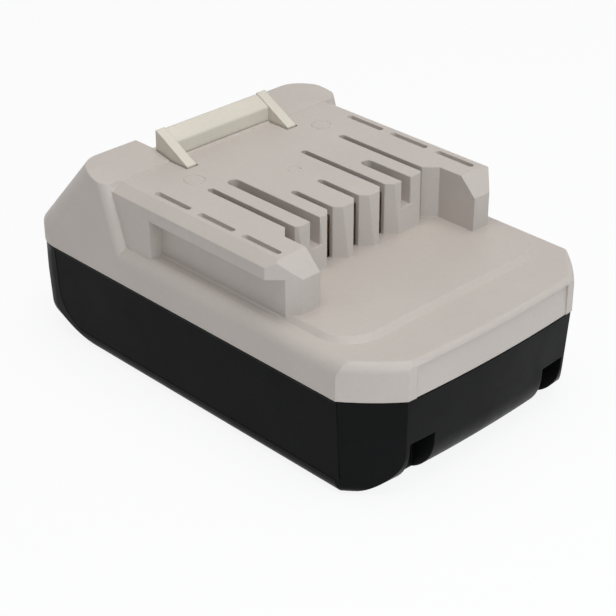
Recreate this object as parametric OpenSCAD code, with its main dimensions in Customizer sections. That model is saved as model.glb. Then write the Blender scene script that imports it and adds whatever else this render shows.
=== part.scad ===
// Slide-on battery pack for cordless power tools: five round cells side by side in a two-part case,
// with a sprung latch at the trailing end. +X is the end that enters the tool first and +Z is up.
// The origin is at the middle of the underside.

/* [Cells] */
// Diameter of one cell
cell_d = 18.4; // [18:0.1:19.6]
// Length of one cell over its raised end
cell_len = 65; // [64:0.5:70]
// Gap between neighbouring cells
cell_gap = 0.3; // [0.2:0.1:0.8]
// Diameter of a cell's raised end
cell_cap_d = 6; // [5:0.5:8]
// Height of a cell's raised end
cell_cap_h = 0.8; // [0.6:0.1:1.2]
// Thickness of the links and end straps
link_t = 0.2; // [0.15:0.05:0.4]
// Height of the links on the cell ends
link_w = 8; // [5:0.5:10]

/* [Case] */
// Wall of both case halves
wall = 2.2; // [1.8:0.1:2.6]
// Floor of the lower case
floor_t = 2.4; // [2:0.1:3.2]
// Foam under the cells
pad_t = 0.6; // [0.4:0.1:1.2]
// Height from the cell tops to the seam
cell_cover_h = 3.2; // [2.6:0.1:4]
// Room between the cell row and the leading end
lead_space = 12.9; // [12.6:0.1:16]
// Room between the cell row and the trailing end
trail_space = 9.9; // [9.6:0.1:14]
// Room between the cell ends and the outside of each long side
side_space = 5; // [4.8:0.1:7]
// Room above the circuit board
part_room = 3.9; // [3.7:0.1:6]
// Cut across each leading corner, seen from above
corner_cut = 10.7; // [8:0.1:12]
// Radius of the trailing corners, seen from above
trail_corner_r = 9; // [6:0.5:12]
// Bow of the leading end, seen from above
lead_bow = 1; // [0.4:0.1:2]
// Bow of the cut corners, seen from above
corner_bow = 0.5; // [0.2:0.1:1]
// Visible gap between the two case halves
seam_gap = 0.3; // [0.2:0.1:0.6]
// Step of the lower case in from the upper case at the seam
seam_step = 0.25; // [0.1:0.05:0.5]
// Radius of the long lower edges
low_edge_r = 3.4; // [2:0.1:4]
// Radius of the lower edge at the trailing end
low_trail_r = 8; // [5:0.5:9]
// Radius of the lower edge at the leading end
low_lead_r = 11; // [8:0.5:14]
// Radius of the rounding along the long sides of the rim
rim_side_r = 3.6; // [2:0.1:4]
// Radius of the rounding along the leading end of the rim
rim_lead_r = 1.5; // [0.8:0.1:2.5]

/* [Hook notches] */
// Distance from the middle to each notch
notch_y = 21.55; // [19:0.05:23]
// Width of a notch
notch_w = 7.3; // [5:0.1:8]
// Height of a notch
notch_h = 13; // [8:0.5:16]
// Depth of a notch, measured in from the leading end
notch_depth = 7.6; // [6:0.1:7.8]

/* [Rails] */
// Width over the two rails
rail_span = 71; // [69:0.1:72]
// Width over the webs that carry the rails
rail_web_span = 64.8; // [63:0.1:66]
// Width over the flat tops of the rails
rail_flat_span = 65; // [63:0.1:67]
// Clear width between the rails
rail_bay_w = 49.4; // [48:0.1:51]
// Height of the plateau above the rim
plateau_h = 1.2; // [0.6:0.1:2]
// Height of the deck above the plateau
deck_h = 12.7; // [11:0.1:15]
// Thickness of the rail lip at its outer edge
rail_lip_t = 2.9; // [2:0.1:4]
// Height of the bevel along the outer top edge of the rails
rail_bevel_h = 1.6; // [1:0.1:2.5]
// Distance from the leading end to the front of the rails
rail_setback = 29; // [27:0.1:34]
// Cut across the outer front corner of a rail, seen from above
rail_nose_cut = 5.7; // [4:0.1:7]
// Length and drop of the ramp at the front of a rail
rail_ramp = 4.3; // [3:0.1:5]
// Length of the lip behind its front
rail_lip_l = 43.3; // [36:0.1:46]
// Distance from the leading end to the foot of the plateau
plateau_setback = 12.6; // [11:0.1:16]
// Radius of the plateau's front corners
plateau_r = 9; // [5:0.5:12]

/* [Terminal block] */
// Distance from the front of the rails back to the front of the block
block_setback = 12; // [10:0.1:14]
// Width of the narrow slits
slit_w = 1.7; // [1.4:0.1:2.2]
// Width of the two wide slots
key_w = 3; // [2.4:0.1:3.4]
// Depth of the two wide slots
key_depth = 6.65; // [4:0.05:8]
// Spacing of the three contact slits
slit_pitch = 8.3; // [8:0.1:8.8]
// Distance from the middle to each wide slot
key_y = 14.5; // [14.2:0.1:15.2]
// Distance from the middle to each guide slit
guide_y = 20.9; // [20.5:0.1:21.4]
// Length of the long slits and the long wide slot
long_slot = 27.5; // [22:0.5:29]
// Length of the short slits and the short wide slot
short_slot = 13.6; // [12:0.1:16]
// Flare at the mouth of each slit
slit_flare = 1.6; // [0.8:0.1:2]

/* [Head and latch] */
// Rise of the head above the deck
head_rise = 1.4; // [0.8:0.1:2]
// Upright wall at the trailing end, from the seam up
head_foot_h = 4.5; // [4:0.1:9]
// Slope of the trailing end, from the level
head_slope = 47.9; // [45:0.1:55]
// Rounding of the trailing slope into the long sides
head_trail_r = 8; // [6:0.5:9]
// Length of the flat top of the head
head_flat_l = 6; // [4:0.1:8]
// Length of the ramp from the head down to the deck
head_ramp_l = 6.3; // [4:0.1:7]
// Length that the front of the head falls forward over its height
head_lean = 4.7; // [3:0.1:7]
// Rounding of the head's front corners
head_edge_r = 2.4; // [1.5:0.1:3]
// Distance from the top trailing edge to the back of the hook
latch_setback = 7; // [6:0.1:9]
// Width of the latch
latch_w = 34.6; // [30:0.2:36]
// Width of the ribs on the hook
rib_w = 2.7; // [2:0.1:3.5]
// Length of the ribs
rib_l = 11; // [9:0.1:12]
// Height of the ribs above the deck
rib_h = 6; // [4:0.1:7]
// Length of the hook bar between the ribs
bar_l = 4.2; // [3:0.1:6]
// Length of the release button behind the hook
button_l = 13.6; // [11:0.1:14]
// Travel of the latch
latch_travel = 6; // [4:0.1:7]
// Clearance round the latch
latch_gap = 0.4; // [0.3:0.05:0.6]

/* [Hidden] */
$fn = 48;

// Colours
case_grey = [0.55, 0.50, 0.46];
case_black = [0.03, 0.03, 0.03];
latch_cream = [0.70, 0.64, 0.53];
frame_grey = [0.25, 0.25, 0.26];
cell_blue = [0.13, 0.30, 0.45];
nickel = [0.72, 0.72, 0.70];
steel = [0.55, 0.56, 0.58];
board_green = [0.05, 0.25, 0.12];
foam_black = [0.12, 0.12, 0.12];
sheet_green = [0.20, 0.28, 0.16];
chip_black = [0.08, 0.08, 0.08];
fuse_white = [0.80, 0.78, 0.70];
capacitor_tan = [0.62, 0.48, 0.26];

// General clearances and cutting margins
skin = 0.01;
cut = 1;
face_gap = 0.1;
slip = 0.15;
fit = 0.3;

// Cell row
cell_count = 5;
cell_pitch = cell_d + cell_gap;
cell_row = cell_count * cell_d + (cell_count - 1) * cell_gap;
half_l = (cell_row + lead_space + trail_space) / 2;
half_w = cell_len / 2 + side_space;
row_x = (trail_space - lead_space) / 2;
cell_z = floor_t + pad_t + cell_d / 2;
cell_top = cell_z + cell_d / 2;
end_y = cell_len / 2;
function cell_x(i) = row_x + (i - (cell_count + 1) / 2) * cell_pitch;

groove = 0.5;
groove_z = 4;
ring_t = 0.3;
ring_d = cell_d - 1.4;
ring_hole_d = cell_cap_d + 1;

// Cell frames
frame_wall = 1.4;
frame_x0 = row_x - cell_row / 2 - frame_wall;
frame_x1 = row_x + cell_row / 2 + frame_wall;
frame_over = 1;
frame_top = cell_top + frame_over;
frame_grip = 8.3;
frame_inset = 0.2;
frame_y1 = end_y - frame_inset;
frame_y0 = frame_y1 - frame_grip;
frame_foot_cut = 5;
frame_corner_cut = 2.4;
frame_window_w = 2;
frame_window_h = 7;
post_h = 3.6;

// Circuit board
board_t = 1.6;
board_z = frame_top + post_h;
board_top = board_z + board_t;
board_in = 2;
post_in = 5;
post_shift = 2.4;
board_half_w = end_y - board_in;
post_x0 = cell_x(2) + cell_pitch / 2 + post_shift;
post_x1 = cell_x(4) + cell_pitch / 2 - post_shift;
post_y = end_y - post_in;
post_d = 6;
board_screw_d = 2.5;
board_head_d = 4.6;
board_head_h = 1.6;
board_screw_l = 6;

// Heights
z_seam = cell_top + cell_cover_h;
z_rim = board_top + part_room + wall;
z_plateau = z_rim + plateau_h;
z_deck = z_plateau + deck_h;
z_head = z_deck + head_rise;
low_top = z_seam - seam_gap;
deck_wall = 2.4;
deck_ceiling = z_deck - deck_wall;
bay_ceiling = z_plateau - wall;

// Case outline, insets and drafts
draft_angle = 2.6;
corner_draft_angle = 3.4;
trail_turns = [15, 45, 75];
turn_rise = [0.6, 0, -0.6];
turn_clear = 0.05;
corner_depth = 0.75;
notch_wall = 1.8;
low_corner_r = 2.6;
rim_corner_r = 2.4;
rim_over = 0.08;
min_r = 0.6;
panel_y = 24.5;
panel_foot = 0.1;
panel_depth = 0.7;
disc_fn = 180;
tongue_out = wall / 2 + slip;
tongue_h = 1.4;
tongue_gap = 0.2;

// Rails and block
rail_front = half_l - rail_setback;
rail_y = rail_span / 2;
web_y = rail_web_span / 2;
bay_y = rail_bay_w / 2;
lip_x0 = rail_front - rail_lip_l;
lip_under = z_deck - rail_bevel_h - rail_lip_t;
block_front = rail_front - block_setback;
block_draft = 1;
stub_back = 1.8;
stub_x = block_front - stub_back;
guide_out = guide_y + slit_w / 2;
guide_in = guide_y - slit_w / 2;
long_x0 = block_front - long_slot;
short_x0 = block_front - short_slot;
key_floor = z_deck - key_depth;
plateau_over = 0.4;
plateau_half_w = web_y + plateau_over;
plateau_front = half_l - plateau_setback;
dash_l = 11.6;
dash_w = 1.5;
dash_depth = 1;
dash_pitch = 14.4;
dash_in = 1.9;
dash_setback = 11.7;
dash_y = rail_flat_span / 2 - dash_in;
dash_x1 = rail_front - dash_setback;
chamber_w = 5.2;
chamber_l = 10.6;
chamber_setback = 2.6;
chamber_x1 = block_front - chamber_setback;
chamber_x0 = chamber_x1 - chamber_l;
web_wall = 1.6;

// Head
head_x0 = -half_l + (z_head - z_seam - head_foot_h) / tan(head_slope);
head_x1 = head_x0 + head_flat_l + head_ramp_l;
head_foot_x = head_x1 + head_lean;
head_side_wall = 2.9;
head_corner_wall = 2.6;
head_inner_y = half_w - head_side_wall;
head_top_r = 1.2;
head_step = 0.15;
slope_clear = 0.05;
slope_low = 1;
head_low = z_seam + wall;

// Latch
hook_x0 = head_x0 + latch_setback;
rib_tip = hook_x0 + rib_l;
bar_front = hook_x0 + bar_l;
latch_x0 = hook_x0 - button_l;
latch_half_w = latch_w / 2;
rib_in = latch_half_w - rib_w;
rib_top = z_deck + rib_h;
bar_drop = 0.3;
bar_front_h = 3.2;
bar_back_z = rib_top - bar_drop;
bar_front_z = z_deck + bar_front_h;
bar_round = 0.8;
bar_round_angle = 65;
rib_tip_h = 0.3;
rib_flat = 0.4;
button_sink = 0.8;
button_drop = 2.6;
button_step = 2;
button_bow = 0.8;
button_t = 3;
latch_body_h = 8;
button_x1 = hook_x0 - button_step;
button_top = z_head - button_sink;
button_low = z_head - (head_x0 - latch_x0) * tan(head_slope) - button_drop;
latch_under = z_deck - latch_body_h;
button_under = button_low - button_t;
wing_w = 2.2;
wing_h = 4.6;
wing_l = 9.5;
ridge_d = 1.4;
ridge_count = 4;
ridge_inset = 5;
ridge_l = latch_w - 2 * ridge_inset;

// Latch springs
spring_back = 4.6;
spring_x = hook_x0 - spring_back;
spring_y = 11;
spring_wire = 0.8;
spring_d = 5.4;
spring_turns = 6;
spring_steps = 10;
spring_sides = 6;
seat_t = 2.2;
seat_gap = 0.5;
seat_top = cell_top + seat_gap + seat_t;
seat_w = 10;
spigot_d = 3.9;
spigot_h = 2.4;
socket_d = 7.2;
socket_wall = 1.2;
socket_od = socket_d + 2 * socket_wall;
socket_top = latch_under - socket_wall;
stop_gap = 3.3;
socket_low = seat_top + latch_travel + stop_gap;
spring_z0 = seat_top + face_gap;
spring_z1 = socket_top - face_gap;
closed_turns = 0.75;
closed_pitch = spring_wire * 1.1;
spring_rise = spring_z1 - spring_z0 - spring_wire;

// Case screws
screw_d = 2.9;
screw_head_d = 5;
screw_head_h = 2;
screw_lift = 2.1;
screw_seat = floor_t + screw_lift;
screw_hole_d = 3.3;
screw_boss_d = 6.2;
screw_sink_d = 5.4;
screw_pad_d = 8.4;
screw_cover = 1.8;
screw_tip_room = 0.6;
screw_lead_gap = 0.4;
screw_trail_gap = 1.2;
screw_tip = z_rim - wall - screw_cover;
screw_lead_x = row_x + cell_row / 2 + screw_boss_d / 2 + screw_lead_gap;
screw_lead_y = 12.5;
screw_trail_x = row_x - cell_row / 2 - screw_boss_d / 2 - screw_trail_gap;
screw_trail_y = 19;
drive_d = 2.4;
drive_depth = 1.2;

// Labels
label_t = 0.25;
label_sink = 0.3;
label_top_gap = 0.6;
label_low_gap = 4;
label_trail_gap = 0.4;
label_lead_gap = 1;
label_corner_r = 9;
label_x0 = -half_l + trail_corner_r + label_trail_gap;
label_l = half_l - corner_cut - label_lead_gap - label_x0;

// Straps, pad and sheet
fold_w = 4.4;
strap_over = 4.5;
leg_w = 3;
leg_in = 0.5;
tab_w = 4;
run_lift = 0.6;
run_z = cell_top + run_lift;
pad_over = 5;
sheet_t = 0.3;
sheet_over = 8;

// Pieces on the circuit board
board_back = 5;
board_front = 2.5;
board_x0 = rib_tip + board_back;
board_x1 = cell_x(cell_count) + board_front;
clip_t = 0.6;
clip_l = 9;
clip_h = 14.6;
clip_half_w = 1.9;
clip_bend_h = 5.2;
pinch_h = 11.1;
pinch_half_w = 0.36;
clip_mouth = 1.6;
clip_setback = 0.8;
signal_cut = 3;
clip_x0 = chamber_x0 + clip_setback;
carrier_h = 3.4;
carrier_margin = 1.6;
part_gap = 2;
front_row_x = board_x1 - 9;
chip_size = [9, 9, 1.4];
transistor_size = [9.2, 6.6, 2.3];
transistor_y = 8;
back_row_x = clip_x0 - carrier_margin - part_gap - transistor_size[0] / 2;
shunt_size = [3.2, 6.4, 0.8];
shunt_y = post_y - board_head_d / 2 - part_gap - shunt_size[1] / 2;
fuse_size = [10, 3.6, 3];
fuse_y = fuse_size[1] / 2 + part_gap + board_head_d / 2 - post_y;
capacitor_d = 4;
capacitor_h = 3.2;
capacitor_y = 13;
sensor_x = cell_x(3) + cell_pitch / 2;
sensor_y = 16;
sensor_d = 3;
sensor_drop = 2.2;
sensor_hole_d = 4;
lead_d = 0.6;
lead_pitch = 1.4;

// Points along an arc round c, from angle a0 to a1
function arc_points(c, r, a0, a1, n) =
  [for (i = [0:n]) let (a = a0 + (a1 - a0) * i / n) [c[0] + r * cos(a), c[1] + r * sin(a)]];

// Points from p to just before q, bulging by sag to the right of that direction
function bowed(p, q, sag, n) =
  let (d = norm(q - p), r = bow_r(d, sag))
  let (along = (q - p) / d, out = [along[1], -along[0]], c = (p + q) / 2 - out * (r - sag))
  let (h = asin(d / 2 / r))
  [for (i = [0:n - 1]) let (a = -h + 2 * h * i / n) c + out * r * cos(a) + along * r * sin(a)];

// Radius of an arc over a chord with a given bow
function bow_r(chord, sag) = (chord * chord / 4 + sag * sag) / (2 * sag);

// The leading end and the two cut corners are parts of large upright discs
lead_r = bow_r(2 * (half_w - corner_cut), lead_bow);
corner_r = bow_r(corner_cut * sqrt(2), corner_bow);
corner_mid = [half_l - lead_bow - corner_cut / 2, half_w - corner_cut / 2];
module lead_axis() translate([half_l - lead_r, 0, 0]) children();
module corner_axis(i) mirror([0, i, 0]) translate([corner_mid[0] - (corner_r - corner_bow) / sqrt(2),
  corner_mid[1] - (corner_r - corner_bow) / sqrt(2), 0]) rotate([0, 0, 45]) children();

// Everything behind a cut corner, so that its disc shapes only the corner
module behind_corner() {
  x = corner_r - corner_bow - corner_cut * corner_depth;
  translate([x - 4 * half_l, -2 * half_l]) square(4 * half_l);
}

// Outline of the case from above, drawn in all round by d
module trailing_outline(d) {
  x0 = d - half_l;
  y = half_w - d;
  r = trail_corner_r - d;
  translate([x0 + r, -y]) square([2 * half_l - r, 2 * y]);
  translate([x0, r - y]) square([r + cut, 2 * (y - r)]);
  for (s = [-1, 1]) translate([x0 + r, s * (y - r)]) circle(r = r);
}
module case_prism(z0, z1, d) translate([0, 0, z0]) linear_extrude(z1 - z0) intersection() {
  trailing_outline(d);
  lead_axis() circle(r = lead_r - d, $fn = disc_fn);
  for_corner(0) circle(r = corner_r - d, $fn = disc_fn);
  for_corner(1) circle(r = corner_r - d, $fn = disc_fn);
}
module for_corner(i) corner_axis(i) {
  children();
  behind_corner();
}

// Region in the plane from u0 to t at the seam, leaning in below it, with a lower edge of radius r at z0
module leaning_edge(u0, t, angle, z0, r) {
  u = t - (low_top - z0 - r) * tan(angle) - r / cos(angle);
  polygon([[u0, z0], [u, z0], [u + r * cos(angle), z0 + r - r * sin(angle)], [t, low_top], [u0, low_top]]);
  translate([u, z0 + r]) circle(r = r);
}

// Region in the plane up to u = t, with an upper edge of radius r at z1
module topped_edge(t, z0, z1, r) {
  translate([0, z0]) square([t, z1 - r - z0]);
  translate([0, z0]) square([t - r, z1 - z0]);
  translate([t - r, z1 - r]) circle(r = r);
}
module along_x() rotate([90, 0, 90]) linear_extrude(4 * half_l, center = true) children();
module along_y() rotate([90, 0, 0]) linear_extrude(4 * half_w, center = true) children();
module disc() rotate_extrude($fn = disc_fn) children();
module corner_solid(i, z0, z1) corner_axis(i) {
  disc() children();
  translate([0, 0, z0]) linear_extrude(z1 - z0) behind_corner();
}

// Prism of an outline in X and Z, centred on the middle plane
module side_prism(width, points) translate([0, width / 2, 0]) rotate([90, 0, 0])
  linear_extrude(width) polygon(points);

// Block from the lowest to the highest corner
module span(p, q) translate(p) cube(q - p);
module both_sides() {
  children();
  mirror([0, 1, 0]) children();
}

// Upper case

// Rim of the upper case, with rounded upper edges
module rim_body() intersection() {
  translate([0, 0, z_seam]) linear_extrude(z_rim - z_seam) trailing_outline(0);
  along_x() {
    topped_edge(half_w, z_seam, z_rim + rim_over, rim_side_r);
    mirror([1, 0]) topped_edge(half_w, z_seam, z_rim + rim_over, rim_side_r);
  }
  lead_axis() disc() topped_edge(lead_r, z_seam, z_rim + rim_over, rim_lead_r);
  corner_solid(0, z_seam, z_rim) topped_edge(corner_r, z_seam, z_rim + rim_over, rim_corner_r);
  corner_solid(1, z_seam, z_rim) topped_edge(corner_r, z_seam, z_rim + rim_over, rim_corner_r);
}

// Panel set into the leading end of the rim, fading towards the seam
module lead_panel() difference() {
  top = z_rim - rim_lead_r;
  span([half_l - corner_cut, -panel_y, z_seam - cut], [half_l + cut, panel_y, top]);
  lead_axis() disc() polygon([[0, z_seam - 2 * cut], [lead_r - panel_foot, z_seam - 2 * cut],
    [lead_r - panel_depth, top + cut], [0, top + cut]]);
}

// Plateau with a sloping border and round front corners
module plateau() translate([0, 0, z_rim - skin]) {
  x = plateau_front - plateau_r;
  y = plateau_half_w - plateau_r;
  h = plateau_h + skin;
  translate([head_foot_x - cut, 0, 0]) rotate([90, 0, 90]) linear_extrude(x - head_foot_x + cut)
    polygon([[-plateau_half_w, 0], [plateau_half_w, 0], [plateau_half_w - h, h], [h - plateau_half_w, h]]);
  side_prism(2 * y, [[x - cut, 0], [plateau_front, 0], [plateau_front - h, h], [x - cut, h]]);
  both_sides() translate([x, y, 0]) cylinder(h = h, r1 = plateau_r, r2 = plateau_r - h);
}

// Head: a raised block with a sloping trailing end and a front that leans back, round at its front corners
module head() intersection() {
  side_prism(2 * half_w + cut, [[-half_l, head_low], [-half_l, z_seam + head_foot_h], [head_x0, z_head],
    [head_x0 + head_flat_l, z_head], [head_x1, z_deck + head_step],
    [head_foot_x + head_lean, z_deck + head_step], [head_foot_x + head_lean, head_low]]);
  case_prism(head_low, z_head + cut, 0);
  along_x() {
    topped_edge(half_w, z_seam - cut, z_head, head_top_r);
    mirror([1, 0]) topped_edge(half_w, z_seam - cut, z_head, head_top_r);
  }
  translate([head_foot_x, 0, z_rim]) rotate([0, -atan(head_lean / (z_deck - z_rim)), 0])
    linear_extrude(4 * half_l, center = true) {
      translate([-4 * half_l, -half_w]) square([4 * half_l - head_edge_r, 2 * half_w]);
      translate([-4 * half_l, head_edge_r - half_w]) square([4 * half_l, 2 * (half_w - head_edge_r)]);
      for (s = [-1, 1]) translate([-head_edge_r, s * (half_w - head_edge_r)]) circle(r = head_edge_r);
    }
}

// Everything under the trailing slope and its round corners, drawn in by d
module under_slope(d) translate([head_x0, 0, z_head]) rotate([0, 90 - head_slope, 0])
  linear_extrude(4 * half_l, center = true) {
    y = half_w + slope_clear - d;
    r = head_trail_r - d;
    translate([d + r, -y]) square([4 * half_l, 2 * y]);
    translate([d, r - y]) square([4 * half_l, 2 * (y - r)]);
    for (s = [-1, 1]) translate([d + r, s * (y - r)]) circle(r = r);
  }
module beyond_slope() difference() {
  span([-2 * half_l, -2 * half_w, z_seam + slope_low],
    [head_x0 + head_trail_r / sin(head_slope) + cut, 2 * half_w, z_head + cut]);
  under_slope(0);
}

module head_cavity() {
  front = head_x1 - wall;
  intersection() {
    side_prism(2 * head_inner_y, [[-half_l + wall, z_seam - cut], [-half_l + wall, deck_ceiling],
      [front, deck_ceiling], [front + head_lean, z_rim - wall], [front + head_lean, z_seam - cut]]);
    under_slope(wall);
    case_prism(z_seam - 2 * cut, z_head, head_corner_wall);
  }
  span([front - cut, wall - web_y, z_rim - wall - cut], [long_x0 - wall, web_y - wall, deck_ceiling]);
}

// Deck with the rails and the terminal block, seen from above
function deck_half() = [[head_x1 - cut, rail_y], [head_x1 - cut, 0], [block_front + block_draft, 0],
  [block_front + block_draft, guide_in - slit_flare], [block_front + block_draft - slit_flare, guide_in],
  [stub_x, guide_in], [stub_x, guide_out], [stub_x + bay_y - guide_out, bay_y], [rail_front, bay_y],
  [rail_front, rail_y - rail_nose_cut], [rail_front - rail_nose_cut, rail_y]];
module deck_side() difference() {
  translate([0, 0, z_rim - rim_side_r]) linear_extrude(z_deck - z_rim + rim_side_r) polygon(deck_half());
  span([lip_x0, web_y, z_rim - rim_side_r - cut], [rail_front + cut, rail_y + cut, lip_under]);
  translate([head_x1 - 2 * cut, 0, 0]) rotate([90, 0, 90]) linear_extrude(2 * half_l)
    polygon([[rail_flat_span / 2, z_deck], [rail_y, z_deck - rail_bevel_h],
      [rail_y + cut, z_deck - rail_bevel_h], [rail_y + cut, z_deck + cut],
      [rail_flat_span / 2, z_deck + cut]]);
  translate([0, rail_y + cut, 0]) rotate([90, 0, 0]) linear_extrude(rail_y - guide_out + cut)
    polygon([[rail_front - rail_ramp, z_deck], [rail_front + cut, z_deck - rail_ramp - cut],
      [rail_front + cut, z_deck + cut], [rail_front - rail_ramp, z_deck + cut]]);
  translate([0, guide_out, 0]) rotate([90, 0, 0]) linear_extrude(guide_out + cut)
    polygon([[block_front + block_draft, z_plateau], [block_front, z_deck],
      [block_front, z_deck + cut], [block_front + block_draft + cut, z_deck + cut],
      [block_front + block_draft + cut, z_plateau]]);
  for (i = [0:2]) translate([dash_x1 - i * dash_pitch, dash_y, z_deck - dash_depth])
    linear_extrude(dash_depth + cut) rounded_bar(dash_l, dash_w);
}
module rounded_bar(l, w) {
  square([l - w, w], center = true);
  for (s = [-1, 1]) translate([s * (l - w) / 2, 0]) circle(d = w);
}

// Slit in the terminal block with a round inner end and a flared mouth
module slit(y, x0, floor_z, w, flare) translate([0, y, floor_z]) linear_extrude(z_deck - floor_z + cut) {
  mouth_x = block_front + block_draft + cut;
  mouth_y = w / 2 + flare + block_draft + cut;
  translate([x0 + w / 2, 0]) circle(d = w);
  translate([x0 + w / 2, -w / 2]) square([block_front + 2 * block_draft - x0, w]);
  polygon([[block_front - flare, w / 2], [mouth_x, mouth_y], [mouth_x, -mouth_y],
    [block_front - flare, -w / 2]]);
}
module terminal_slots() {
  slit(-slit_pitch, short_x0, z_plateau, slit_w, slit_flare);
  slit(0, short_x0, z_plateau, slit_w, slit_flare);
  slit(slit_pitch, long_x0, z_plateau, slit_w, slit_flare);
  slit(-guide_y, long_x0, z_plateau, slit_w, skin);
  slit(guide_y, long_x0, z_plateau, slit_w, skin);
  slit(-key_y, long_x0, key_floor, key_w, skin);
  slit(key_y, short_x0, key_floor, key_w, skin);
}

// Hollows under the terminal block and the rails
module deck_cavities() {
  span([head_x1, -plateau_half_w + wall + plateau_h, z_rim - wall - cut],
    [plateau_front - plateau_r, plateau_half_w - wall - plateau_h, bay_ceiling]);
  for (i = [-1:1]) span([chamber_x0, i * slit_pitch - chamber_w / 2, bay_ceiling - cut],
    [chamber_x1, i * slit_pitch + chamber_w / 2, deck_ceiling]);
  both_sides() {
    span([long_x0, slit_pitch + chamber_w / 2 + web_wall, bay_ceiling - cut],
      [chamber_x1, guide_in - web_wall, key_floor - wall]);
    span([long_x0 - wall, bay_y + wall, bay_ceiling - cut],
      [rail_front - rail_nose_cut, web_y - wall, lip_under]);
  }
}

module latch_opening() {
  y = latch_half_w + latch_gap;
  span([latch_x0 - latch_gap, -y, z_rim], [bar_front + latch_gap, y, z_head + cut]);
  both_sides() span([bar_front, rib_in - latch_gap, z_rim], [rib_tip + latch_gap, y, z_head + cut]);
}

module screw_places() both_sides() {
  translate([screw_lead_x, screw_lead_y, 0]) children();
  translate([screw_trail_x, screw_trail_y, 0]) children();
}

module upper_case() color(case_grey) difference() {
  union() {
    difference() {
      union() {
        rim_body();
        head();
        plateau();
        both_sides() deck_side();
      }
      beyond_slope();
      intersection() {
        case_prism(z_seam - cut, z_rim - wall, wall);
        under_slope(wall);
      }
      head_cavity();
      deck_cavities();
      lead_panel();
      case_prism(z_seam - cut, z_seam + tongue_h + tongue_gap, tongue_out - tongue_gap);
    }
    intersection() {
      screw_places() translate([0, 0, z_seam]) cylinder(h = z_rim - wall / 2 - z_seam, d = screw_boss_d);
      under_slope(wall / 2);
    }
  }
  terminal_slots();
  latch_opening();
  screw_places() translate([0, 0, z_seam - cut])
    cylinder(h = screw_tip + screw_tip_room - z_seam + cut, d = screw_d + face_gap);
}

// Lower case

// Body of the lower case drawn in all round by d, with its underside at z0
module lower_body(d, z0) intersection() {
  inset = seam_step + d;
  translate([0, 0, z0]) linear_extrude(low_top - z0) trailing_outline(inset);
  along_x() intersection() {
    leaning_edge(-3 * half_l, half_w - inset, draft_angle, z0, max(low_edge_r - d, min_r));
    mirror([1, 0]) leaning_edge(-3 * half_l, half_w - inset, draft_angle, z0, max(low_edge_r - d, min_r));
  }
  along_y() mirror([1, 0])
    leaning_edge(-3 * half_l, half_l - inset, draft_angle, z0, max(low_trail_r - d, min_r));
  trailing_turn(1, 1, d, z0);
  trailing_turn(-1, 1, d, z0);
  lead_axis() disc() leaning_edge(0, lead_r - inset, draft_angle, z0, low_lead_r);
  corner_solid(0, z0, low_top)
    leaning_edge(0, corner_r - inset, corner_draft_angle, z0, max(low_corner_r - d, min_r));
  corner_solid(1, z0, low_top)
    leaning_edge(0, corner_r - inset, corner_draft_angle, z0, max(low_corner_r - d, min_r));
}

// Everything inside a leaning wall that touches a trailing corner, at turn i from the long side
module trailing_turn(side, i, d, z0) {
  x = half_l - trail_corner_r;
  y = half_w - trail_corner_r;
  turn = trail_turns[i];
  reach = x * sin(turn) + y * cos(turn) + trail_corner_r - seam_step - d + turn_clear;
  rotate([0, 0, side * (turn - 90)]) along_y() mirror([1, 0])
    leaning_edge(-3 * half_l, reach, draft_angle, z0, max(low_trail_r + turn_rise[i] - d, min_r));
}

// Place on a long side, with Z along the leaning wall and Y square to it
module on_side() translate([0, -half_w + seam_step, low_top]) rotate([draft_angle, 0, 0]) children();
module label_slab(y0, y1, grow) on_side() translate([0, y1, 0]) rotate([90, 0, 0]) linear_extrude(y1 - y0) {
  x = label_x0 - grow;
  z = label_low_gap - low_top - grow;
  l = label_l + 2 * grow;
  h = low_top - label_low_gap - label_top_gap + 2 * grow;
  r = label_corner_r + grow;
  translate([x + r, z]) square([l - r, h]);
  translate([x, z + r]) square([l, h - r]);
  translate([x + r, z + r]) circle(r = r);
}

module notch_box(grow) both_sides()
  span([half_l - notch_depth - grow, notch_y - notch_w / 2 - grow, -cut],
    [half_l + cut, notch_y + notch_w / 2 + grow, notch_h + grow]);

module lower_case() color(case_black) difference() {
  union() {
    intersection() {
      lower_body(0, 0);
      trailing_turn(1, 0, 0, 0);
      trailing_turn(1, 2, 0, 0);
      trailing_turn(-1, 0, 0, 0);
      trailing_turn(-1, 2, 0, 0);
      union() {
        difference() {
          span([-2 * half_l, -2 * half_w, -cut], [2 * half_l, 2 * half_w, z_seam]);
          lower_body(wall, floor_t);
          case_prism(low_top - skin, z_seam + cut, seam_step + wall);
        }
        notch_box(notch_wall);
        screw_places() {
          cylinder(h = low_top, d = screw_boss_d);
          cylinder(h = screw_seat + wall, d = screw_pad_d);
        }
        both_sides() span([screw_lead_x, screw_lead_y - screw_pad_d / 2, 0],
          [half_l, screw_lead_y + screw_pad_d / 2, screw_seat + wall]);
      }
    }
    difference() {
      case_prism(low_top - cut, z_seam + tongue_h, tongue_out);
      case_prism(low_top - 2 * cut, z_seam + tongue_h + cut, seam_step + wall);
    }
  }
  notch_box(0);
  both_sides() label_slab(-cut, label_sink, face_gap);
  screw_places() {
    translate([0, 0, -cut]) cylinder(h = low_top + 2 * cut, d = screw_hole_d);
    translate([0, 0, -cut]) cylinder(h = screw_seat + cut, d = screw_sink_d);
  }
}

module side_label_left() color(case_black) label_slab(label_sink - label_t, label_sink, 0);
module side_label_right() color(case_black) mirror([0, 1, 0])
  label_slab(label_sink - label_t, label_sink, 0);

// Latch

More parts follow.
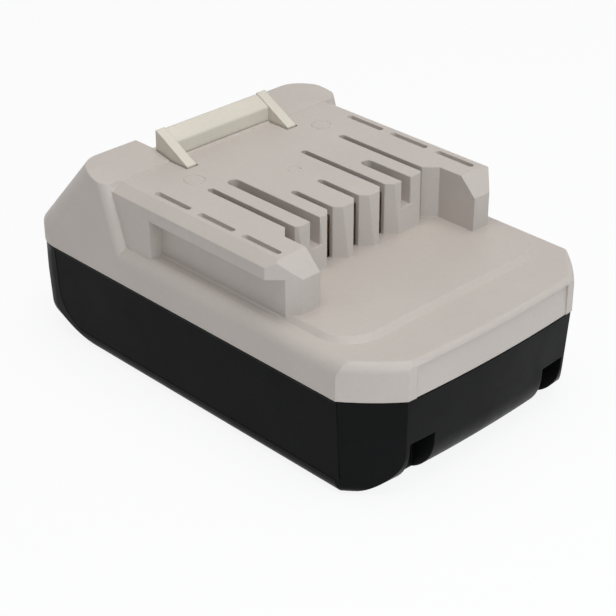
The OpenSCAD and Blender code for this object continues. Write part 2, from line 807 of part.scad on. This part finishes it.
function latch_points() = concat(
  [[bar_front, latch_under], [bar_front, bar_front_z]],
  arc_points([bar_front - bar_round, bar_front_z], bar_round, 0, bar_round_angle, 4),
  [[hook_x0, bar_back_z], [hook_x0, button_top], [button_x1, button_top]],
  bowed([button_x1, button_top], [latch_x0, button_low], button_bow, 6),
  [[latch_x0, button_low], [latch_x0, button_under],
    [spring_x - socket_od / 2, latch_under - socket_wall]]);
function ridge_at(t) = [button_x1 + t * (latch_x0 - button_x1),
  button_top + t * (button_low - button_top)];
module latch() color(latch_cream) difference() {
  union() {
    side_prism(latch_w, latch_points());
    both_sides() {
      translate([0, rib_in, 0]) mirror([0, 1, 0]) rotate([90, 0, 0]) linear_extrude(rib_w)
        polygon([[hook_x0, latch_under], [bar_front, latch_under], [rib_tip, z_deck - deck_wall],
          [rib_tip, z_deck + rib_tip_h], [hook_x0 + rib_flat, rib_top], [hook_x0, rib_top]]);
      span([hook_x0 - wing_l + bar_l, latch_half_w - cut, deck_ceiling - fit - wing_h],
        [bar_front, latch_half_w + wing_w, deck_ceiling - fit]);
      translate([spring_x, spring_y, socket_low])
        cylinder(h = latch_under - socket_low + cut, d = socket_od);
    }
    for (i = [1:ridge_count]) let (p = ridge_at(i / (ridge_count + 1)))
      translate([p[0], 0, p[1]]) rotate([90, 0, 0]) cylinder(h = ridge_l, d = ridge_d, center = true);
  }
  both_sides() translate([spring_x, spring_y, socket_low - cut])
    cylinder(h = socket_top - socket_low + cut, d = socket_d);
}

// Latch springs: one unbroken wire each, with a closed last turn at both ends

function coil_turn(t) = t < closed_turns ? t * closed_pitch
  : t > spring_turns - closed_turns ? spring_rise - (spring_turns - t) * closed_pitch
  : closed_turns * closed_pitch + (t - closed_turns) / (spring_turns - 2 * closed_turns)
    * (spring_rise - 2 * closed_turns * closed_pitch);
function coil_point(t) = [spring_d / 2 * cos(360 * t), spring_d / 2 * sin(360 * t),
  spring_z0 + spring_wire / 2 + coil_turn(t)];
module coil() {
  rings = spring_turns * spring_steps;
  points = [for (i = [0:rings])
    let (t = i / spring_steps, c = coil_point(t), out = [cos(360 * t), sin(360 * t), 0])
    for (k = [0:spring_sides - 1]) let (a = 360 * k / spring_sides)
      c + spring_wire / 2 * (out * cos(a) + [0, 0, sin(a)])];
  sides = [for (i = [0:rings - 1], k = [0:spring_sides - 1]) let (n = spring_sides, m = (k + 1) % n)
    each [[i * n + k, i * n + m, (i + 1) * n + k], [i * n + m, (i + 1) * n + m, (i + 1) * n + k]]];
  caps = [for (k = [1:spring_sides - 2]) each [[0, k + 1, k],
    [rings * spring_sides, rings * spring_sides + k, rings * spring_sides + k + 1]]];
  polyhedron(points, concat(sides, caps));
}
echo(least_coil_gap = min([for (i = [0:(spring_turns - 1) * spring_steps])
  norm(coil_point(i / spring_steps + 1) - coil_point(i / spring_steps)) - spring_wire]));
module latch_spring_left() color(steel) translate([spring_x, -spring_y, 0]) coil();
module latch_spring_right() color(steel) translate([spring_x, spring_y, 0]) coil();

// Fasteners

module case_screws() color(steel) screw_places() difference() {
  union() {
    translate([0, 0, screw_seat - screw_head_h]) cylinder(h = screw_head_h, d = screw_head_d);
    cylinder(h = screw_tip, d = screw_d);
  }
  translate([0, 0, -cut]) cylinder(h = screw_seat - screw_head_h + cut, d = screw_head_d + cut);
  translate([0, 0, screw_seat - screw_head_h - cut]) cylinder(h = drive_depth + cut, d = drive_d, $fn = 6);
}
module board_places() for (x = [post_x0, post_x1], s = [-1, 1]) translate([x, s * post_y, 0]) children();
module board_screws() color(steel) board_places() difference() {
  union() {
    translate([0, 0, board_top]) cylinder(h = board_head_h, d = board_head_d);
    translate([0, 0, board_top - board_screw_l + skin]) cylinder(h = board_screw_l, d = board_screw_d);
  }
  translate([0, 0, board_top + board_head_h - drive_depth])
    cylinder(h = drive_depth + cut, d = drive_d, $fn = 6);
}

// Cells and what joins them

// A cell whose raised end faces -Y for odd places in the row and +Y for even ones
module place_cell(i) translate([cell_x(i), 0, cell_z]) mirror([0, (i + 1) % 2, 0])
  rotate([90, 0, 0]) children();
module cell(i) color(cell_blue) place_cell(i) translate([0, 0, -end_y]) rotate_extrude()
  polygon([[0, 0], [cell_d / 2, 0], [cell_d / 2, cell_len - groove_z - groove],
    [cell_d / 2 - groove, cell_len - groove_z],
    [cell_d / 2, cell_len - groove_z + groove], [cell_d / 2, cell_len - cell_cap_h],
    [cell_cap_d / 2, cell_len - cell_cap_h], [cell_cap_d / 2, cell_len], [0, cell_len]]);
module cell_rings() color("ivory") for (i = [1:cell_count]) place_cell(i)
  translate([0, 0, end_y - cell_cap_h]) difference() {
    cylinder(h = ring_t, d = ring_d);
    translate([0, 0, -cut]) cylinder(h = ring_t + 2 * cut, d = ring_hole_d);
  }
module cell_frame() difference() {
  union() {
    span([frame_x0, -frame_y1, floor_t], [frame_x1, -frame_y0, frame_top]);
    board_posts();
    span([spring_x - seat_w / 2, -frame_y0 - cut, cell_top + seat_gap],
      [spring_x + seat_w / 2, -spring_y + seat_w / 2, seat_top]);
    translate([spring_x, -spring_y, seat_top - skin]) cylinder(h = spigot_h, d = spigot_d);
  }
  for (i = [1:cell_count]) translate([cell_x(i), 0, cell_z]) rotate([90, 0, 0])
    cylinder(h = 2 * end_y, d = cell_d + 2 * slip, center = true);
  for (i = [1:cell_count - 1]) translate([cell_x(i) + cell_pitch / 2, 0, cell_z])
    cube([frame_window_w, 2 * end_y, frame_window_h], center = true);
  for (x = [frame_x0, frame_x1]) translate([x, 0, floor_t]) rotate([0, 45, 0])
    cube([frame_foot_cut * sqrt(2), 2 * half_w, frame_foot_cut * sqrt(2)], center = true);
  translate([frame_x1, -frame_y1, 0]) rotate([0, 0, 45])
    cube([frame_corner_cut * sqrt(2), frame_corner_cut * sqrt(2), 3 * frame_top], center = true);
  board_places() translate([0, 0, board_top - board_screw_l - slip])
    cylinder(h = board_screw_l, d = board_screw_d + face_gap);
}
module board_posts() intersection() {
  board_places() translate([0, 0, frame_top - skin]) cylinder(h = post_h + skin, d = post_d);
  span([-half_l, -half_w, frame_top - cut], [half_l, 0, board_z]);
}
module cell_frame_left() color(frame_grey) cell_frame();
module cell_frame_right() color(frame_grey) mirror([0, 1, 0]) cell_frame();

// Flat strap on the cell ends from x0 to x1, with a leg at leg_x that folds over the board's edge
module strap(x0, x1, leg_x, leg_w, side) color(nickel) mirror([0, side > 0 ? 1 : 0, 0]) {
  span([x0, -end_y - link_t, cell_z - link_w / 2], [x1, -end_y, cell_z + link_w / 2]);
  strap_leg(leg_x, leg_w, cell_z);
}
module strap_leg(leg_x, leg_w, z0) {
  span([leg_x - leg_w / 2, -end_y - link_t, z0], [leg_x + leg_w / 2, -end_y, board_top + link_t]);
  span([leg_x - leg_w / 2, -end_y - link_t, board_top],
    [leg_x + leg_w / 2, fold_w - end_y, board_top + link_t]);
}
module cell_link(i, leg_x, side) strap(cell_x(i) - strap_over,
  max(cell_x(i + 1) + strap_over, leg_x + leg_w / 2), leg_x, leg_w, side);
module cell_link_12() cell_link(1, board_x0 + leg_w / 2 + leg_in, -1);
module cell_link_23() cell_link(2, cell_x(3), 1);
module cell_link_34() cell_link(3, cell_x(3) + cell_pitch / 2, -1);
module cell_link_45() cell_link(4, cell_x(5) - strap_over + leg_w / 2, 1);
module positive_tab() strap(cell_x(5) - strap_over, cell_x(5) + strap_over,
  board_x1 - tab_w / 2 - leg_in, tab_w, -1);
module negative_tab() color(nickel) mirror([0, 1, 0]) {
  leg_x = board_x0 + tab_w / 2 + leg_in;
  span([cell_x(1) - strap_over, -end_y - link_t, cell_z - link_w / 2],
    [cell_x(1) + strap_over, -end_y, cell_z + link_w / 2]);
  span([cell_x(1) - tab_w / 2, -end_y - link_t, cell_z], [cell_x(1) + tab_w / 2, -end_y, run_z + tab_w]);
  span([cell_x(1) - tab_w / 2, -end_y - link_t, run_z], [leg_x + tab_w / 2, -end_y, run_z + tab_w]);
  strap_leg(leg_x, tab_w, run_z);
}
module base_pad() color(foam_black) span([cell_x(1) - pad_over, face_gap - frame_y0, floor_t],
  [cell_x(cell_count) + pad_over, frame_y0 - face_gap, floor_t + pad_t - face_gap]);
module insulator_sheet() color(sheet_green) difference() {
  span([cell_x(2) - sheet_over, face_gap - frame_y0, cell_top + face_gap],
    [cell_x(cell_count), frame_y0 - face_gap, cell_top + face_gap + sheet_t]);
  translate([sensor_x, sensor_y, cell_top]) cylinder(h = cut, d = sensor_hole_d);
}

// Circuit board and what it carries

module circuit_board() color(board_green) difference() {
  span([board_x0, -board_half_w, board_z], [board_x1, board_half_w, board_top]);
  board_places() translate([0, 0, board_z - cut])
    cylinder(h = board_t + 2 * cut, d = board_screw_d + 2 * slip);
}

// Spring clip: two leaves that pinch the tool's blade between them
function clip_leaf() = [[clip_half_w - clip_t, 0], [clip_half_w, 0], [clip_half_w, clip_bend_h],
  [pinch_half_w + clip_t, pinch_h], [clip_mouth, clip_h], [clip_mouth - clip_t, clip_h],
  [pinch_half_w, pinch_h], [clip_half_w - clip_t, clip_bend_h]];
module clip(y, l) color("goldenrod") translate([clip_x0, y, board_top]) {
  both_sides() rotate([90, 0, 90]) linear_extrude(l) polygon(clip_leaf());
  span([0, -clip_half_w, 0], [l, clip_half_w, clip_t]);
}
module positive_terminal() clip(-slit_pitch, clip_l);
module signal_terminal() clip(0, clip_l - signal_cut);
module negative_terminal() clip(slit_pitch, clip_l);
module terminal_carrier() color(frame_grey) difference() {
  span([clip_x0 - carrier_margin, -slit_pitch - clip_half_w - carrier_margin, board_top],
    [clip_x0 + clip_l + carrier_margin, slit_pitch + clip_half_w + carrier_margin, board_top + carrier_h]);
  for (i = [-1:1]) span([clip_x0 - fit, i * slit_pitch - clip_half_w - fit, board_top - cut],
    [clip_x0 + clip_l + fit, i * slit_pitch + clip_half_w + fit, board_top + carrier_h + cut]);
}

// Board parts, placed from the front and back edges of the board
module board_part(x, y, size) translate([x - size[0] / 2, y - size[1] / 2, board_top]) cube(size);
module controller_chip() color(chip_black) board_part(front_row_x, 0, chip_size);
module power_transistors() color(chip_black)
  for (s = [-1, 1]) board_part(back_row_x, s * transistor_y, transistor_size);
module shunt_resistor() color(chip_black) board_part(back_row_x, shunt_y, shunt_size);
module thermal_fuse() color(fuse_white) board_part(back_row_x, fuse_y, fuse_size);
module capacitors() color(capacitor_tan) for (s = [-1, 1])
  translate([front_row_x, s * capacitor_y, board_top]) cylinder(h = capacitor_h, d = capacitor_d);

// Temperature sensor: a bead in the hollow between two cells, on two leads from the board
module thermistor() color(chip_black) translate([sensor_x, sensor_y, cell_top - sensor_drop]) {
  sphere(d = sensor_d);
  for (s = [-1, 1]) translate([0, s * lead_pitch / 2, 0])
    cylinder(h = board_z - cell_top + sensor_drop, d = lead_d);
}

upper_case();
lower_case();
latch();
latch_spring_left();
latch_spring_right();
case_screws();
cell(1);  // cell_1
cell(2);  // cell_2
cell(3);  // cell_3
cell(4);  // cell_4
cell(5);  // cell_5
cell_rings();
cell_frame_left();
cell_frame_right();
cell_link_12();
cell_link_23();
cell_link_34();
cell_link_45();
positive_tab();
negative_tab();
base_pad();
insulator_sheet();
circuit_board();
board_screws();
positive_terminal();
signal_terminal();
negative_terminal();
terminal_carrier();
controller_chip();
power_transistors();
shunt_resistor();
thermal_fuse();
capacitors();
thermistor();
side_label_left();
side_label_right();
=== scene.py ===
import math

import bpy
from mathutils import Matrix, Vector


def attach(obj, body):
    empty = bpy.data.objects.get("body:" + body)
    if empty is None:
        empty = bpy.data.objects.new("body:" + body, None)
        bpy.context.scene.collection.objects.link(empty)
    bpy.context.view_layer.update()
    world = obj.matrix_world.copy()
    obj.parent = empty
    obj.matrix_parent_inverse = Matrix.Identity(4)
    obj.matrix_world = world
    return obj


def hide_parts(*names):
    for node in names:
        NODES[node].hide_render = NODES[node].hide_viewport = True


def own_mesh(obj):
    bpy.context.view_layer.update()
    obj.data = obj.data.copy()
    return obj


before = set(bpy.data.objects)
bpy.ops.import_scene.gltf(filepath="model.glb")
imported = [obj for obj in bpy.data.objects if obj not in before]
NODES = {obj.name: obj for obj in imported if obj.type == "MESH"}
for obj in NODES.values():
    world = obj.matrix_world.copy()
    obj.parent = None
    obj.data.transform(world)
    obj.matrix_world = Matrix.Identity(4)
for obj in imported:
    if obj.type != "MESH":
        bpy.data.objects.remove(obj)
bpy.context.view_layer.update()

MM = 0.001


def add_object(name, data):
    """An object for a mesh, lamp or camera, put into the scene."""
    made = bpy.data.objects.new(name, data)
    bpy.context.scene.collection.objects.link(made)
    return made


# Shader helpers

NOISE_LOW = 0.3
NOISE_HIGH = 0.7


def feed(tree, value, socket):
    """Gives a socket another socket's value, or an RGB colour."""
    if isinstance(value, bpy.types.NodeSocket):
        tree.links.new(value, socket)
    else:
        socket.default_value = (*value, 1)


def new_material(name):
    """A material with its node tree, its Principled shader and object coordinates."""
    material = bpy.data.materials.new(name)
    material.use_nodes = True
    tree = material.node_tree
    tree.nodes.clear()
    shader = tree.nodes.new("ShaderNodeBsdfPrincipled")
    output = tree.nodes.new("ShaderNodeOutputMaterial")
    tree.links.new(shader.outputs["BSDF"], output.inputs["Surface"])
    place = tree.nodes.new("ShaderNodeTexCoord").outputs["Object"]
    return material, tree, shader, place


def noise(tree, place, size, detail, rough=0.5):
    """Noise with features of about this size in metres, from 0 to 1."""
    node = tree.nodes.new("ShaderNodeTexNoise")
    node.inputs["Scale"].default_value = 1 / size
    node.inputs["Detail"].default_value = detail
    node.inputs["Roughness"].default_value = rough
    tree.links.new(place, node.inputs["Vector"])
    return node.outputs["Fac"]


def spread(tree, value, low, high, from_low=NOISE_LOW, from_high=NOISE_HIGH):
    """The value mapped from its usual range to low and high."""
    node = tree.nodes.new("ShaderNodeMapRange")
    node.inputs["From Min"].default_value = from_low
    node.inputs["From Max"].default_value = from_high
    node.inputs["To Min"].default_value = low
    node.inputs["To Max"].default_value = high
    tree.links.new(value, node.inputs["Value"])
    return node.outputs["Result"]


def calculated(tree, operation, one, other):
    """The result of one operation on two values."""
    node = tree.nodes.new("ShaderNodeMath")
    node.operation = operation
    tree.links.new(one, node.inputs[0])
    tree.links.new(other, node.inputs[1])
    return node.outputs["Value"]


def mixed(tree, share, low, high):
    """A colour between two others, each a socket or an RGB colour."""
    node = tree.nodes.new("ShaderNodeMix")
    node.data_type = "RGBA"
    feed(tree, low, node.inputs["A"])
    feed(tree, high, node.inputs["B"])
    tree.links.new(share, node.inputs["Factor"])
    return node.outputs["Result"]


def bump(tree, height, depth, strength, normal=None):
    """A bump whose full height is depth metres, on a normal of its own if there is one."""
    node = tree.nodes.new("ShaderNodeBump")
    node.inputs["Distance"].default_value = depth
    node.inputs["Strength"].default_value = strength
    tree.links.new(height, node.inputs["Height"])
    if normal is not None:
        tree.links.new(normal, node.inputs["Normal"])
    return node.outputs["Normal"]


def scaled(values, share):
    """Each of some values times a share."""
    return tuple(value * share for value in values)


# Finishes

EDGE_RADIUS = 0.35 * MM
EDGE_SAMPLES = 6
EDGE_FACING = 0.86
FLAT_FACING = 0.99
# How much paler the edges get: partly rubbed wear, partly painted highlight
EDGE_WEAR_AND_HIGHLIGHT_PALER = 1.35
CLOUD_SIZE = 22 * MM
FLECK_SIZE = 1.1 * MM
SMUDGE_SIZE = 7 * MM
PALE_PATCH_SIZE = 3 * MM
GLOSS_SWING = 0.07
GRAIN_STRENGTH = 0.5

DULL_SIZE = 4 * MM
DULL_DARKER = 0.85
DULL_ROUGHER = 0.1
BRIGHT_SMOOTHER = 0.05
BRUSH_DEPTH = 0.01 * MM
BRUSH_STRENGTH = 0.4


def edge_share(tree):
    """The normal with edges rounded off, and how near to an edge a place is, from 0 to 1."""
    rounded = tree.nodes.new("ShaderNodeBevel")
    rounded.samples = EDGE_SAMPLES
    rounded.inputs["Radius"].default_value = EDGE_RADIUS
    facing = tree.nodes.new("ShaderNodeVectorMath")
    facing.operation = "DOT_PRODUCT"
    tree.links.new(rounded.outputs["Normal"], facing.inputs[0])
    tree.links.new(tree.nodes.new("ShaderNodeNewGeometry").outputs["Normal"], facing.inputs[1])
    return rounded.outputs["Normal"], spread(tree, facing.outputs["Value"], 1, 0, EDGE_FACING, FLAT_FACING)


def moulded(name, colour, rough, specular, grain, depth, vary, wear_and_highlight=0.0):
    """Plastic, paper or coating: fine grain, faint cloudy shade, handling marks, and paler edges in
    patches that are partly edge wear and partly painted highlight.
    """
    material, tree, shader, place = new_material(name)
    cloud = spread(tree, noise(tree, place, CLOUD_SIZE, 3), -0.5, 0.5)
    fleck = spread(tree, noise(tree, place, FLECK_SIZE, 4, 0.6), 0.2, 0.8)
    shade = calculated(tree, "ADD", cloud, fleck)
    colours = mixed(tree, shade, scaled(colour, 1 - vary), scaled(colour, 1 + vary))
    smudge = noise(tree, place, SMUDGE_SIZE, 5, 0.65)
    gloss = spread(tree, smudge, rough - GLOSS_SWING, rough + GLOSS_SWING)
    normal = None
    if wear_and_highlight:
        normal, near = edge_share(tree)
        # Painted highlight mixed with edge wear: edges made paler in patches, standing partly for light
        # caught on rounded edges
        patches = spread(tree, noise(tree, place, PALE_PATCH_SIZE, 4, 0.7), 0, wear_and_highlight)
        paler_edges = calculated(tree, "MULTIPLY", near, patches)
        colours = mixed(tree, paler_edges, colours, scaled(colour, EDGE_WEAR_AND_HIGHLIGHT_PALER))
    grains = bump(tree, noise(tree, place, grain, 2), depth, GRAIN_STRENGTH, normal)
    shader.inputs["Specular IOR Level"].default_value = specular
    tree.links.new(colours, shader.inputs["Base Color"])
    tree.links.new(gloss, shader.inputs["Roughness"])
    tree.links.new(grains, shader.inputs["Normal"])
    return material


def metal(name, colour, rough, brush):
    """Bare metal with a fine uneven surface and a mottled gloss."""
    material, tree, shader, place = new_material(name)
    dull = noise(tree, place, DULL_SIZE, 4)
    colours = mixed(tree, dull, scaled(colour, DULL_DARKER), colour)
    gloss = spread(tree, dull, rough + DULL_ROUGHER, rough - BRIGHT_SMOOTHER)
    grains = bump(tree, noise(tree, place, brush, 3), BRUSH_DEPTH, BRUSH_STRENGTH)
    shader.inputs["Metallic"].default_value = 1
    tree.links.new(colours, shader.inputs["Base Color"])
    tree.links.new(gloss, shader.inputs["Roughness"])
    tree.links.new(grains, shader.inputs["Normal"])
    return material


GREY = (0.52, 0.465, 0.425)
CREAM = (0.66, 0.61, 0.52)
BLACK = (0.0055, 0.0055, 0.0058)
LABEL = (0.0085, 0.0084, 0.0083)
SLEEVE_BLUE = (0.05, 0.16, 0.30)
RING_WHITE = (0.75, 0.74, 0.68)
FRAME_GREY = (0.10, 0.10, 0.11)
FOAM_BLACK = (0.03, 0.03, 0.03)
PAPER_GREEN = (0.16, 0.22, 0.13)
MASK_GREEN = (0.02, 0.12, 0.05)
CHIP_BLACK = (0.02, 0.02, 0.022)
SHELL_TAN = (0.40, 0.27, 0.12)
STEEL = (0.60, 0.60, 0.62)
NICKEL = (0.70, 0.68, 0.62)
BRASS = (0.75, 0.52, 0.22)

LOOKS = {
    "case_grey": moulded("grey_plastic", GREY, rough=0.44, specular=0.35,
                         grain=0.16 * MM, depth=0.012 * MM, vary=0.03, wear_and_highlight=0.5),
    "case_black": moulded("black_plastic", BLACK, rough=0.40, specular=0.06,
                          grain=0.16 * MM, depth=0.014 * MM, vary=0.2, wear_and_highlight=0.8),
    "latch_cream": moulded("cream_plastic", CREAM, rough=0.36, specular=0.35,
                           grain=0.3 * MM, depth=0.006 * MM, vary=0.03, wear_and_highlight=0.3),
    "label_black": moulded("label_film", LABEL, rough=0.40, specular=0.025,
                           grain=0.5 * MM, depth=0.004 * MM, vary=0.15),
    "spring_steel": metal("zinc_steel", STEEL, rough=0.30, brush=0.3 * MM),
    "cell_sleeve": moulded("shrink_sleeve", SLEEVE_BLUE, rough=0.28, specular=0.5,
                           grain=0.8 * MM, depth=0.006 * MM, vary=0.06),
    "ring_paper": moulded("ring_paper", RING_WHITE, rough=0.75, specular=0.2,
                          grain=0.25 * MM, depth=0.01 * MM, vary=0.08),
    "frame_grey": moulded("frame_plastic", FRAME_GREY, rough=0.5, specular=0.4,
                          grain=0.2 * MM, depth=0.01 * MM, vary=0.1),
    "nickel": metal("nickel_strip", NICKEL, rough=0.28, brush=0.2 * MM),
    "foam": moulded("foam", FOAM_BLACK, rough=0.9, specular=0.1,
                    grain=0.4 * MM, depth=0.08 * MM, vary=0.25),
    "sheet_paper": moulded("fish_paper", PAPER_GREEN, rough=0.8, specular=0.15,
                           grain=0.3 * MM, depth=0.02 * MM, vary=0.1),
    "board_green": moulded("solder_mask", MASK_GREEN, rough=0.3, specular=0.5,
                           grain=0.6 * MM, depth=0.006 * MM, vary=0.12),
    "contact_brass": metal("contact_brass", BRASS, rough=0.26, brush=0.2 * MM),
    "chip_black": moulded("chip_epoxy", CHIP_BLACK, rough=0.55, specular=0.35,
                          grain=0.12 * MM, depth=0.01 * MM, vary=0.2),
    "capacitor_tan": moulded("capacitor_shell", SHELL_TAN, rough=0.4, specular=0.45,
                             grain=0.4 * MM, depth=0.006 * MM, vary=0.08),
}
WEARS = {
    "case_grey": ["upper_case"],
    "case_black": ["lower_case"],
    "latch_cream": ["latch"],
    "label_black": ["side_label_left", "side_label_right"],
    "spring_steel": ["latch_spring_left", "latch_spring_right", "case_screws", "board_screws"],
    "cell_sleeve": ["cell_1", "cell_2", "cell_3", "cell_4", "cell_5"],
    "ring_paper": ["cell_rings", "thermal_fuse"],
    "frame_grey": ["cell_frame_left", "cell_frame_right", "terminal_carrier"],
    "nickel": ["cell_link_12", "cell_link_23", "cell_link_34", "cell_link_45",
               "positive_tab", "negative_tab"],
    "foam": ["base_pad"],
    "sheet_paper": ["insulator_sheet"],
    "board_green": ["circuit_board"],
    "contact_brass": ["positive_terminal", "signal_terminal", "negative_terminal"],
    "chip_black": ["controller_chip", "power_transistors", "shunt_resistor", "thermistor"],
    "capacitor_tan": ["capacitors"],
}


def dress(piece, slot):
    """Gives a piece the finish of a material slot."""
    piece.data.materials.clear()
    piece.data.materials.append(LOOKS[slot])


for slot, names in WEARS.items():
    for name in names:
        dress(NODES[name], slot)


# Rounded edges: width of the rounding of each outer piece

ROUNDED = {"upper_case": 0.35 * MM, "lower_case": 0.25 * MM, "latch": 0.3 * MM}
WELD_REACH = 0.002 * MM
FLAT_ANGLE = math.radians(0.6)
ROUND_ANGLE = math.radians(24)
ROUND_SEGMENTS = 2
FLAT_WEIGHT = 100


def round_edges(node, width):
    """Joins the triangles of each flat face, rounds the edges between faces and keeps large faces flat."""
    weld = node.modifiers.new("weld", "WELD")
    weld.merge_threshold = WELD_REACH
    flat = node.modifiers.new("flat", "DECIMATE")
    flat.decimate_type = "DISSOLVE"
    flat.angle_limit = FLAT_ANGLE
    edge = node.modifiers.new("edge", "BEVEL")
    edge.width = width
    edge.segments = ROUND_SEGMENTS
    edge.limit_method = "ANGLE"
    edge.angle_limit = ROUND_ANGLE
    edge.miter_outer = "MITER_ARC"
    even = node.modifiers.new("even", "WEIGHTED_NORMAL")
    even.mode = "FACE_AREA"
    even.weight = FLAT_WEIGHT
    node.data.shade_smooth()


for name, width in ROUNDED.items():
    round_edges(NODES[name], width)


# Latch springs: copies on the pack body in place of the originals

PACK_BODY = "pack"


def shortening(name):
    """Stands for a coil spring: a copy of it on the pack body, resting on its seat, with the original
    hidden.
    """
    coil = add_object(name + "_coil", NODES[name].data.copy())
    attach(coil, PACK_BODY)
    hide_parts(name)
    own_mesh(coil)


shortening("latch_spring_left")
shortening("latch_spring_right")


# Moulding marks: faint round ridges on the deck, each with its place and radius in millimetres

DECK_MARKS = {
    "deck_mark_left": (-16.3, -20.0, 2.4),
    "deck_mark_middle": (-4.5, 0.2, 1.5),
    "deck_mark_right": (-18.1, 22.2, 2.4),
}
DECK_TOP = 47.6 * MM
MARK_STEPS = 48
MARK_HALF = 0.225 * MM
MARK_CREST = 0.1125 * MM
MARK_RISE = 0.09 * MM
MARK_SINK = 0.15 * MM
MARK_SECTION = [
    (-MARK_HALF, -MARK_SINK),
    (MARK_HALF, -MARK_SINK),
    (MARK_HALF, 0.0),
    (MARK_CREST, MARK_RISE),
    (-MARK_CREST, MARK_RISE),
    (-MARK_HALF, 0.0),
]


def ridge(name, x, y, mid_radius):
    """A low closed ring, let into the deck."""
    count = len(MARK_SECTION)
    points = []
    faces = []
    for step in range(MARK_STEPS):
        turn = 2 * math.pi * step / MARK_STEPS
        here = step * count
        there = (step + 1) % MARK_STEPS * count
        for k, (across, rise) in enumerate(MARK_SECTION):
            radius = mid_radius + across
            points.append((x + radius * math.cos(turn), y + radius * math.sin(turn), DECK_TOP + rise))
            after = (k + 1) % count
            faces.append((here + k, there + k, there + after, here + after))
    mesh = bpy.data.meshes.new(name)
    mesh.from_pydata(points, [], faces)
    mesh.shade_smooth()
    made = add_object(name, mesh)
    dress(made, "case_grey")
    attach(made, PACK_BODY)


for name, sizes in DECK_MARKS.items():
    ridge(name, *scaled(sizes, MM))


# Floor and surroundings: white where they are seen, paler or darker where they only light the object

FLOOR_HALF = 6.0
FLOOR_SEEN = (0.90, 0.90, 0.90)
FLOOR_BOUNCE = (0.92, 0.92, 0.92)
FLOOR_GLOW = 0.88
WHITE = (1.0, 1.0, 1.0)
WHITE_LEVEL = 1.0
FILL_COLOUR = (0.92, 0.965, 1.0)
FILL_LEVEL = 0.31


def seen_rays(tree):
    """1 for rays that show the background: from the camera, mirrored or let through."""
    path = tree.nodes.new("ShaderNodeLightPath")
    mirrored = calculated(tree, "MAXIMUM", path.outputs["Is Camera Ray"], path.outputs["Is Glossy Ray"])
    return calculated(tree, "MAXIMUM", mirrored, path.outputs["Is Transmission Ray"])


def diffuse(tree, colour):
    node = tree.nodes.new("ShaderNodeBsdfDiffuse")
    node.inputs["Color"].default_value = (*colour, 1)
    return node.outputs["BSDF"]


def background(tree, colour, level):
    node = tree.nodes.new("ShaderNodeBackground")
    node.inputs["Color"].default_value = (*colour, 1)
    node.inputs["Strength"].default_value = level
    return node.outputs["Background"]


def mixed_shaders(tree, first, second):
    """A mix of two shaders, and the socket of the second one's share."""
    node = tree.nodes.new("ShaderNodeMixShader")
    tree.links.new(first, node.inputs[1])
    tree.links.new(second, node.inputs[2])
    return node.outputs["Shader"], node.inputs["Fac"]


def floor_material():
    """White with the object's shadow where it is seen, and plain diffuse for the light it throws back."""
    material = bpy.data.materials.new("pale_floor")
    material.use_nodes = True
    tree = material.node_tree
    tree.nodes.clear()
    glow = tree.nodes.new("ShaderNodeEmission")
    glow.inputs["Strength"].default_value = WHITE_LEVEL
    pale, glow_share = mixed_shaders(tree, diffuse(tree, FLOOR_SEEN), glow.outputs["Emission"])
    glow_share.default_value = FLOOR_GLOW
    surface, seen_share = mixed_shaders(tree, diffuse(tree, FLOOR_BOUNCE), pale)
    tree.links.new(seen_rays(tree), seen_share)
    output = tree.nodes.new("ShaderNodeOutputMaterial")
    tree.links.new(surface, output.inputs["Surface"])
    return material


def studio_world():
    """White where it is seen, and a low cool fill for the object."""
    world = bpy.data.worlds.new("studio")
    world.use_nodes = True
    tree = world.node_tree
    tree.nodes.clear()
    fill = background(tree, FILL_COLOUR, FILL_LEVEL)
    surface, seen_share = mixed_shaders(tree, fill, background(tree, WHITE, WHITE_LEVEL))
    tree.links.new(seen_rays(tree), seen_share)
    output = tree.nodes.new("ShaderNodeOutputWorld")
    tree.links.new(surface, output.inputs["Surface"])
    return world


floor_mesh = bpy.data.meshes.new("floor")
floor_corners = [(x * FLOOR_HALF, y * FLOOR_HALF, 0.0) for x, y in ((-1, -1), (1, -1), (1, 1), (-1, 1))]
floor_mesh.from_pydata(floor_corners, [], [(0, 1, 2, 3)])
floor_mesh.materials.append(floor_material())
add_object("floor", floor_mesh)
bpy.context.scene.world = studio_world()


# Lamps: place, aim and size in metres, power in watts, and colour

LAMPS = {
    "overhead": ((0.10, 0.0, 0.90), (0, 0, 0.03), 0.9, 5.0, (1.0, 0.985, 0.955)),
    "front": ((0.50, -0.14, 0.26), (0.03, 0, 0.03), 0.5, 1.3, (0.84, 0.93, 1.0)),
}


def softbox(name, place, aim, size, power, colour):
    """A round lamp at a place, turned to its aim."""
    lamp = bpy.data.lights.new(name, "AREA")
    lamp.shape = "DISK"
    lamp.size = size
    lamp.energy = power
    lamp.color = colour
    made = add_object(name, lamp)
    made.location = place
    made.rotation_euler = (Vector(aim) - Vector(place)).to_track_quat("-Z", "Y").to_euler()


for name, settings in LAMPS.items():
    softbox(name, *settings)


# The camera was worked out from the photograph: its place, its aim and its field of view

CAMERA_AT = Vector((255.62, -249.46, 217.73)) * MM
CAMERA_FORWARD = Vector((-0.6207, 0.6057, -0.4979))
FOCAL_PIXELS = 1729.6
IMAGE_PIXELS = 616
SENSOR_WIDTH = 36.0
NEAR_CLIP = 0.01
FAR_CLIP = 50

camera_data = bpy.data.cameras.new("camera")
camera_data.sensor_fit = "HORIZONTAL"
camera_data.sensor_width = SENSOR_WIDTH
camera_data.lens = FOCAL_PIXELS / IMAGE_PIXELS * SENSOR_WIDTH
camera_data.clip_start = NEAR_CLIP
camera_data.clip_end = FAR_CLIP
camera = add_object("camera", camera_data)
camera.location = CAMERA_AT
camera.rotation_euler = CAMERA_FORWARD.to_track_quat("-Z", "Y").to_euler()
bpy.context.scene.camera = camera
bpy.context.scene.view_settings.view_transform = "Standard"
